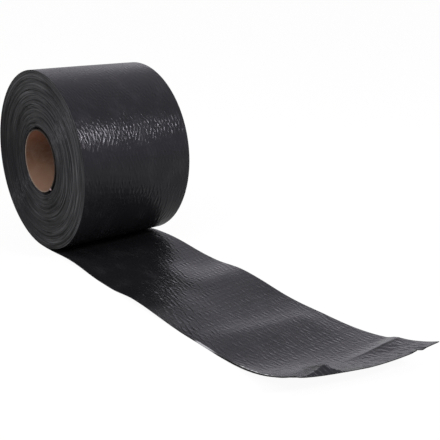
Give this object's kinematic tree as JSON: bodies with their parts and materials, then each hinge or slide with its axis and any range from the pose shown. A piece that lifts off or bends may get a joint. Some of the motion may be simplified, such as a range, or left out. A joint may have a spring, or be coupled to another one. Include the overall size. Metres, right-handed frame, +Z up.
{
  "type": "roll of damp proof course",
  "caption": "Narrow roll of black embossed polythene damp proof course on a cardboard core, lying on its side with the loose end run out flat and its tip turned up.",
  "frame": {"origin": "centre of the bounding box in plan, on the floor that the roll lies on", "axes": "+Z up, +Y along the coil's axis, +X along the loose end towards its tip"},
  "size_m": [0.409, 0.1012, 0.15],
  "materials": {
    "polythene": "black embossed polythene with a satin sheen",
    "cardboard": "plain brown spiral-wound board"
  },
  "bodies": {
    "root": {"damp_proof_strip": "polythene", "core_tube": "cardboard"}
  },
  "joints": []
}
